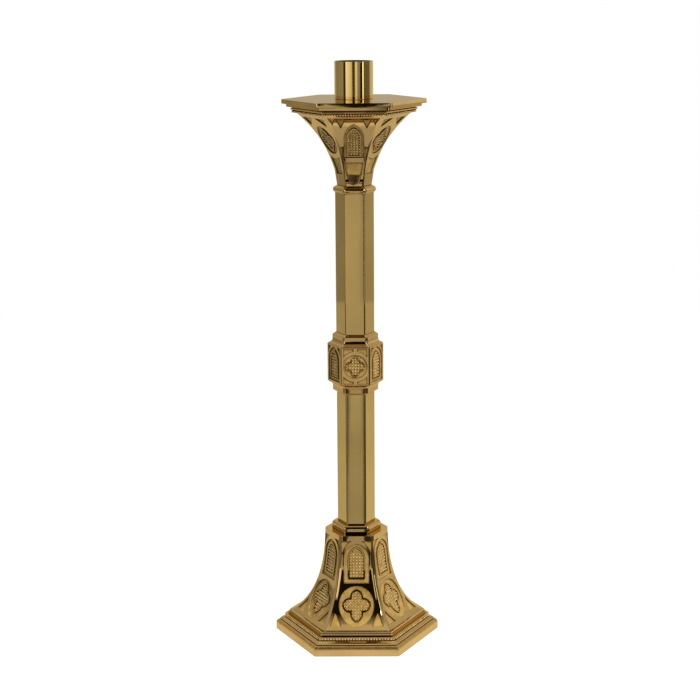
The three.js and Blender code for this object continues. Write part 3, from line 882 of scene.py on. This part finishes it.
# Capital: a lancet over a tapered shield on three faces, a medallion over a tablet on the others
capital = dict(
    foot=31.8, curve=((35.9, 27), (50.4, 71.3), (65.3, 93.5), (100.3, 126.5)), steps=40, height=126.5,
    arris=3.2, edge=0.5, wall=4, plate=8, register=20.3, registerDepth=3.3, depth=2.1, span=(20, 150),
    rim=1.3, lancet=(18, 52, 88, 115), lancetBorder=1.7, field=(12.5, 54.4, 88, 106), paneStuds=(5, 5.0, 4.6),
    sill=(19, 46.5, 50.7), panel=(11.8, 16.4, 20.5, 44), flank=(14.6, 25.4, 5, 70.8),
    shield=(8, 18.4, 4, 46.6),
    spandrels=(((15, 120.6), (22.6, 105.5), (31, 120.6)), ((33.4, 121.4), (37, 110.6), (41, 121.4))),
    medallion=25, medallionHeight=82.7, border=29.4, foil=(19.6, 8.6, 82.7, 1.5), foilStuds=(8, 4.9, 4.4),
    tablet=(9.6, 17.5, 21.5, 58), tabletArch=33.2, corner=((5, 122.2), (28.5, 107), (38, 122.2)),
)


def makeCapital():
    c = capital
    foot = footOf("capital")
    profile = [(c["foot"], 0), *sweepCurve(*c["curve"], c["steps"])]
    face = carvedFace(c, profile, foot)
    body = hexBody("capital_body", profile, foot, c, buffedBrass)
    carveLancetFace(body, face)
    carveMedallionFace(body, face)
    inside = [point for point in sunk(profile, c["wall"]) if c["plate"] < point[1] < c["height"]]
    inside = [(inside[0][0], c["plate"]), *inside, (inside[-1][0], c["height"] + clear)]
    cut(body, stackRings("hollow", inside, foot, sandCastBrass))
    bore(
        body, foot, (coarse, rodHole, -clear, c["plate"] + clear),
        (fine, c["register"], -clear, c["registerDepth"]),
    )
    place(shadeSmooth(body), "stand", "polished_brass", "capital")
    placeOrnament("capital_lancet", frontFaces, lancetField(face, c["field"], c["paneStuds"]))
    placeOrnament("capital_medallion", sideFaces, foilField(face, c["foil"], c["foilStuds"]))


def carveLancetFace(body, face):
    c = capital
    half, low, spring, apex = c["lancet"]
    border = c["lancetBorder"]
    flanks = outlineTool(taper(*c["flank"]), face)
    grown = lancet(half + border, low - border, spring, apex + border)
    for kept in (grown, box(*c["sill"]), taper(*c["shield"])):
        cut(flanks, outlineTool(kept, face))
    tools = [flanks, outlineTool(lancet(*c["lancet"]), face), outlineTool(taper(*c["panel"]), face)]
    tools += [pairTool(corners(*points), face) for points in c["spandrels"]]
    sink(body, face, tools, frontFaces)


def carveMedallionFace(body, face):
    c = capital
    height = c["medallionHeight"]
    tablet = cut(outlineTool(taper(*c["tablet"]), face), discTool(c["tabletArch"], height, face))
    cornerPair = cut(pairTool(corners(*c["corner"]), face), discTool(c["border"], height, face))
    sink(body, face, [discTool(c["medallion"], height, face), tablet, cornerPair], sideFaces)


# Beaded moulding and drip pan
panMoulding = dict(
    foot=100.8, bed=104, bedTop=2.2, seat=109.6, seatTop=4, beadTop=6.6, bulge=3.8, roundTop=11.3,
    height=12.8, inner=86, arris=2.2, edge=0.3, beadRow=110.9, beadHeight=4.6, beadPitch=4.6,
)


def makePanMoulding():
    m = panMoulding
    strip = halfRound(m["seat"], m["beadTop"], m["bulge"], m["roundTop"] - m["beadTop"])
    profile = [
        (m["foot"], 0), (m["bed"], m["bedTop"]), (m["seat"], m["seatTop"]), *strip, (m["seat"], m["height"]),
    ]
    hexCasting(
        "panMoulding", "pan_moulding", profile, m,
        bores=((hexagon, m["inner"], -clear, m["height"] + clear),),
    )
    makeBeads("pan_beads", m["beadRow"], m["beadHeight"], m["beadPitch"], "pan_moulding")


pan = dict(
    stepFoot=121.1, step=121.5, stepTop=4.8, cove=1.6, plateFoot=5.6, radius=129.8, height=13.2, recess=106,
    rim=((0, 0), (0.5, 0), (1, 0.03)), arris=3.6, edge=0.3,
)


def makePan():
    # rim: share of the plate's height, and how far the edge leans in there
    p = pan
    cove = p["step"] - p["cove"]
    profile = [(p["stepFoot"], 0), (p["step"], p["stepTop"]), (cove, p["stepTop"]), (cove, p["plateFoot"])]
    for share, lean in p["rim"]:
        profile.append((p["radius"] - lean, p["plateFoot"] + share * (p["height"] - p["plateFoot"])))
    hexCasting(
        "pan", "drip_pan", profile, p,
        bores=(
            (hexagon, p["recess"], -clear, p["plateFoot"]),
            (coarse, rodHole, p["plateFoot"] - clear, p["height"] + clear),
        ),
    )


socket = dict(
    outer=34.25, bore=32.25, height=65.5, floor=16.3, floorTop=19.3, edge=0.5, edgeSteps=3, sides=128,
)


def makeSocket():
    s = socket
    foot = footOf("candle_socket")

    def tube(name, radius, low, high):
        return stackRings(name, [(radius, low), (radius, high)], foot, drawnBrass, s["sides"])

    body = tube("socket_tube", s["outer"], 0, s["height"])
    cut(body, tube("skirt", s["bore"], -clear, s["floor"]))
    cut(body, tube("cup", s["bore"], s["floorTop"], s["height"] + clear))
    softenEdges(body, s["edge"], steps=s["edgeSteps"])
    place(shadeSmooth(body), "socket", "polished_brass", "candle_socket")


makePlinth()
makeStringCourse()
makeBell()
makeBaseCollar()
print("base made")
makeColumn("lowerColumn", "lower_column")
makeKnopRing("lowerRing", "knop_lower_ring", False)
makeKnop()
makeKnopRing("upperRing", "knop_upper_ring", True)
makeColumn("upperColumn", "upper_column")
print("stem made")
makeHeadCollar()
makeCapital()
makePanMoulding()
makePan()
makeSocket()
print("head made")


# The solids get their finish too, since those that no piece replaces are shown
for name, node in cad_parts.items():
    finish = buffedBrass
    if name in ("base_bridge", "tie_rod") or "nut" in name or "washer" in name:
        finish = zincSteel
    elif name == "socket_seat":
        finish = turnedBrass
    elif name in ("lower_column", "upper_column", "candle_socket"):
        finish = drawnBrass
    coat(node, finish)


# Camera, at the photograph's place
view = dict(
    distance=2.8189, height=1.1975, tilt=13.043, roll=-0.392, heading=0.201, turn=0.4, lens=81.17, sensor=36,
    reach=(0.05, 60),
)


def makeCamera():
    camera = bpy.data.objects.new("camera", bpy.data.cameras.new("camera"))
    bpy.context.scene.collection.objects.link(camera)
    bpy.context.scene.camera = camera
    camera.data.lens = view["lens"]
    camera.data.sensor_width = view["sensor"]
    camera.data.clip_start, camera.data.clip_end = view["reach"]
    turn = Matrix.Rotation(math.radians(view["turn"]), 4, "Z")
    stand = Matrix.Translation((0, -view["distance"], view["height"]))
    look = Matrix.Rotation(math.radians(view["heading"]), 4, "Z")
    tilt = Matrix.Rotation(math.radians(90 - view["tilt"]), 4, "X")
    roll = Matrix.Rotation(math.radians(view["roll"]), 4, "Z")
    camera.matrix_world = turn @ stand @ look @ tilt @ roll


makeCamera()


# Studio: what the polished brass mirrors. The walls are given by bearing, with 0 towards the camera and
# 90 to its right, each from, to, and the level at both ends: a softbox and a gap on either side of the
# camera's wall, dim side walls, and a bright rear. Under the horizon the floor's edge is mirrored.
# A zone is where it starts and where it is full, in degrees of bearing or as the upward part of a direction.
studio = dict(
    walls=dict(
        rearLeft=(-180, -150, 0.85, 0.7), leftWall=(-122, -68, 0.36, 0.45), leftGap=(-60, -50, 0.05, 0.02),
        leftSoftbox=(-48, -22, 1.6, 1.15), cameraWall=(-10, 7, 0.78, 0.84), rightSoftbox=(11, 20, 1.15, 1.2),
        rightWall=(22, 36, 0.44, 0.4), rightGap=(40, 52, 0.02, 0.02), farRight=(64, 103, 0.2, 0.2),
        rearRight=(118, 180, 0.9, 0.88),
    ),
    edge=dict(
        rearLeft=(-180, -160, 0.7, 0.6), leftWall=(-120, -50, 0.35, 0.3), leftFloor=(-25, 0.2, 0.8, 0.66),
        rightFloor=(0.4, 100, 0.01, 0.1), rearRight=(125, 180, 0.6, 0.7),
    ),
    front=(66, 60), rearCeiling=(0.12, 0.62), frontGap=(0.39, 0.47), zenith=(0.72, 0.95),
    horizon=(-0.074, -0.082), top=0.56, gap=0.01,
    slit=dict(middle=-0.8, side=(7.6, 6.9), foot=(-0.0745, -0.0738), top=(0.95, 0.72)),
    lens=dict(middle=-0.24, side=(1.46, 1.4), foot=-0.122, bow=0.052, rim=(0, 0.004)),
    backdrop=(0.50, 0.46, 0.37, 1), behind=(165, 170), low=(0.16, 0.13),
    fill=(1, 0.76, 0.46, 1), fromAbove=(-0.2, 0.8), diffuse=(0.1, 0.55), across=(0.1, 0.8),
)


def addShare(tree, source, zone):
    # 0 where a zone starts, 1 where it is full
    return addNode(tree, "MapRange", (source, *zone))


def overlap(tree, *shares):
    # where all the shares hold; it multiplies levels too
    product = shares[0]
    for share in shares[1:]:
        product = addNode(tree, "Math", (product, share), operation="MULTIPLY")
    return product


def layer(tree, level, share, other):
    # a level, and another one over it by a share
    return addNode(tree, "Mix", {"Factor": share, "A": level, "B": other})


def layerTint(tree, tint, share, other):
    return addNode(tree, "Mix", {"Factor": share, 6: tint, 7: other}, data_type="RGBA")


def offFrom(tree, place, middle):
    return addNode(tree, "Math", (place, middle), operation="SUBTRACT")


def bearingOf(tree, x, y):
    turn = addNode(tree, "Math", (x, overlap(tree, y, -1)), operation="ARCTAN2")
    return addNode(tree, "Math", (turn,), operation="DEGREES")


def addWalls(tree, bearing, walls):
    # levels all round; a ramp's colours stop at 1, so they are halved in it
    stops = []
    for start, end, first, last in walls.values():
        stops += [((start + 180) / 360, grey(first / 2)), ((end + 180) / 360, grey(last / 2))]
    around = addShare(tree, bearing, (-180, 180))
    return overlap(tree, setStops(addNode(tree, "ValToRGB", {"Fac": around}), stops), 2)


def addSlit(tree, bearing, up):
    # dark slit at the camera, whose foot hangs lower straight ahead, as a rounded lens
    slit, lens = studio["slit"], studio["lens"]
    aside = addNode(tree, "Math", (offFrom(tree, bearing, slit["middle"]),), operation="ABSOLUTE")
    wide = addShare(tree, aside, slit["side"])
    plain = overlap(tree, addShare(tree, up, slit["foot"]), wide)
    off = offFrom(tree, bearing, lens["middle"])
    square = overlap(tree, off, off)
    bowl = addNode(tree, "Math", (square, lens["bow"], lens["foot"]), operation="MULTIPLY_ADD")
    over = offFrom(tree, up, bowl)
    ahead = addShare(tree, addNode(tree, "Math", (off,), operation="ABSOLUTE"), lens["side"])
    both = layer(tree, plain, ahead, overlap(tree, addShare(tree, over, lens["rim"]), wide))
    return overlap(tree, both, addShare(tree, up, slit["top"]))


def makeStudio():
    s = studio
    world = bpy.data.worlds.new("studio")
    bpy.context.scene.world = world
    world.use_nodes = True
    tree = world.node_tree
    tree.nodes.clear()
    x, y, up = addNode(tree, "SeparateXYZ", (addNode(tree, "TexCoord").outputs["Generated"],)).outputs
    bearing = bearingOf(tree, x, y)
    aside = addNode(tree, "Math", (bearing,), operation="ABSOLUTE")
    # behind the object the walls fade up to the ceiling, in front they end under a dark gap
    front = addShare(tree, aside, s["front"])
    rear = addNode(tree, "Math", (1, front), operation="SUBTRACT")
    level = addWalls(tree, bearing, s["walls"])
    level = layer(tree, level, overlap(tree, addShare(tree, up, s["rearCeiling"]), rear), s["top"])
    level = layer(tree, level, overlap(tree, addShare(tree, up, s["frontGap"]), front), s["gap"])
    level = layer(tree, level, addShare(tree, up, s["zenith"]), s["top"])
    level = layer(tree, level, addShare(tree, up, s["horizon"]), addWalls(tree, bearing, s["edge"]))
    level = layer(tree, level, addSlit(tree, bearing, up), s["gap"])
    # a warm grey backdrop low down behind, for the top of the pan
    behind = overlap(tree, addShare(tree, aside, s["behind"]), addShare(tree, up, s["low"]))
    tint = layerTint(tree, level, behind, s["backdrop"])
    # matt parts are lit softly from above and the right, and the camera itself sees a plain white background
    fromAbove = layer(tree, s["diffuse"][0], addShare(tree, up, s["fromAbove"]), s["diffuse"][1])
    fromRight = layer(tree, s["across"][0], addShare(tree, x, (-1, 1)), s["across"][1])
    fill = layerTint(tree, grey(0), overlap(tree, fromAbove, fromRight), s["fill"])
    rays = addNode(tree, "LightPath").outputs
    tint = layerTint(tree, tint, rays["Is Diffuse Ray"], fill)
    tint = layerTint(tree, tint, rays["Is Camera Ray"], grey(1))
    out = addNode(tree, "OutputWorld", {"Surface": addNode(tree, "Background", {"Color": tint})})
    out.is_active_output = True


makeStudio()

# Lamps: a soft one overhead, the key for the matt parts alone, a small one that sparkles on studs and
# edges, and a tall strip on the right. What is mattOnly isn't mirrored.
lamps = dict(
    overhead=dict(place=(0.25, 0.1, 2.5), size=(1.9, 1.9), level=0.2),
    key=dict(place=(1.55, -2.4, 3.8), size=(1.8, 1.8), level=27, mattOnly=True),
    spark=dict(place=(1.2, -1.25, 1.9), size=(0.3, 0.3), level=16),
    strip=dict(place=(1.75, -1.17, 1.0), size=(0.24, 1.7), level=2.6),
)
aimedAt = Vector((0, 0, 0.5))


def makeLamps():
    for name, facts in lamps.items():
        light = bpy.data.lights.new(name, "AREA")
        light.shape = "RECTANGLE"
        light.size, light.size_y = facts["size"]
        light.energy = facts["level"] * math.pi * light.size * light.size_y
        lamp = bpy.data.objects.new(name, light)
        bpy.context.scene.collection.objects.link(lamp)
        lamp.location = facts["place"]
        lamp.rotation_euler = (aimedAt - lamp.location).to_track_quat("-Z", "Y").to_euler()
        lamp.visible_camera = False
        lamp.visible_glossy = not facts.get("mattOnly", False)


makeLamps()

# Pale studio floor, in metres. It glows for the camera and for mirrored rays, and what the brass mirrors of
# it is painted reflection, given by distance and bearing: in front of the stand it holds a light strip
# between two dark ones, and a dark wedge far off. A line that runs forwards is given by how far right it
# starts and how far it spreads with each metre, both in millimetres.
floorFacts = dict(
    radius=3.2, sides=96, sunk=0.0004,
    front=(
        (0, 1.0), (0.165, 0.98), (0.19, 0.62), (0.6, 0.52), (1.3, 0.53), (1.8, 0.62), (2.1, 0.74),
        (2.5, 0.64), (2.8, 0.62),
    ),
    side=((0, 1.05), (0.18, 1.05), (0.3, 0.95), (0.7, 0.85), (1.2, 0.78), (2.8, 0.66)),
    ahead=(0.4, 0.9), leftwards=(-0.4, -0.8), left=0.84, turnFrom=(0.4, 0.6),
    turn=dict(
        rear=(-180, -115, 1, 1), left=(-95, -35, 0.4, 0.4), front=(-15, 8, 1, 1), right=(13, 98, 0.12, 0.12),
        rearRight=(112, 180, 1, 1),
    ),
    dark=0.015, leftEdge=(-20, -13), rightEdge=(13.6, 4.9), darkSpan=(0.6, 1.86), soft=(0, 0.002),
    out=(0.13, 0.11), wedge=(2.04, 2.3), wedgeLeft=(320, -165), wedgeRight=(-293, 136),
    wedgeSoft=(0, 0.0015), endSoft=0.01,
    white=1.15, share=0.86, paper=0.8, bounce=0.3,
)


def floorLevel(tree, x, y, away):
    f = floorFacts
    levels = []
    for stops in (f["side"], f["front"]):
        line = [(distance / f["radius"], grey(level / 2)) for distance, level in stops]
        share = addShare(tree, away, (0, f["radius"]))
        levels.append(setStops(addNode(tree, "ValToRGB", {"Fac": share}), line))
    ahead = overlap(tree, y, -1)
    frontal = addShare(tree, addNode(tree, "Math", (ahead, away), operation="DIVIDE"), f["ahead"])
    level = layer(tree, levels[0], frontal, levels[1])
    left = addShare(tree, addNode(tree, "Math", (x, away), operation="DIVIDE"), f["leftwards"])
    level = overlap(tree, level, layer(tree, 1, left, f["left"]))
    turned = overlap(tree, level, addWalls(tree, bearingOf(tree, x, y), f["turn"]))
    level = layer(tree, level, addShare(tree, away, f["turnFrom"]), turned)

    def past(line, way):
        # how far a spot lies beyond a line, to the right or to the left
        start, spread = line
        edge = addNode(tree, "Math", (ahead, spread * mm, start * mm), operation="MULTIPLY_ADD")
        return overlap(tree, offFrom(tree, x, edge), way)

    def within(near, far):
        start, end = (near, near + f["endSoft"]), (far, far - f["endSoft"])
        return overlap(tree, addShare(tree, ahead, start), addShare(tree, ahead, end))

    for line, way in (("leftEdge", -1), ("rightEdge", 1)):
        beyond = past(f[line], way)
        side = overlap(tree, addShare(tree, beyond, f["soft"]), addShare(tree, beyond, f["out"]))
        level = layer(tree, level, overlap(tree, side, within(*f["darkSpan"])), f["dark"])
    inside = []
    for line, way in (("wedgeLeft", 1), ("wedgeRight", -1)):
        inside.append(addShare(tree, past(f[line], way), f["wedgeSoft"]))
    return layer(tree, level, overlap(tree, *inside, within(*f["wedge"])), f["dark"])


def makeFloor():
    f = floorFacts
    leaveAll()
    bpy.ops.mesh.primitive_circle_add(
        vertices=f["sides"], radius=f["radius"], fill_type="NGON", location=(0, 0, -f["sunk"]),
    )
    floor = settle(bpy.context.object)
    floor.name = "floor"
    finish = bpy.data.materials.new("paleStudioFloor")
    finish.use_nodes = True
    tree = finish.node_tree
    tree.nodes.clear()
    spot = addNode(tree, "TexCoord").outputs["Object"]
    away = addNode(tree, "VectorMath", (spot,), operation="LENGTH").outputs["Value"]
    x, y = addNode(tree, "SeparateXYZ", (spot,)).outputs[:2]
    rays = addNode(tree, "LightPath").outputs
    # the glow is painted reflection for mirrored rays and a plain white for the camera
    level = layer(tree, floorLevel(tree, x, y, away), rays["Is Camera Ray"], f["white"] / 2)
    glow = addNode(tree, "Emission", {"Color": level, "Strength": 2})
    # a camera ray keeps some of the paper's own shade, and with it the stand's shadow
    shade = layer(tree, f["bounce"], rays["Is Camera Ray"], f["paper"])
    paper = addNode(tree, "BsdfDiffuse", {"Color": shade})
    plain = overlap(tree, rays["Is Camera Ray"], f["share"])
    seen = addNode(tree, "Math", (plain, rays["Is Glossy Ray"]), operation="MAXIMUM")
    addNode(tree, "OutputMaterial", {"Surface": addNode(tree, "MixShader", (seen, paper, glow))})
    coat(floor, finish)


makeFloor()
bpy.context.scene.view_settings.view_transform = "Standard"
print("studio made")
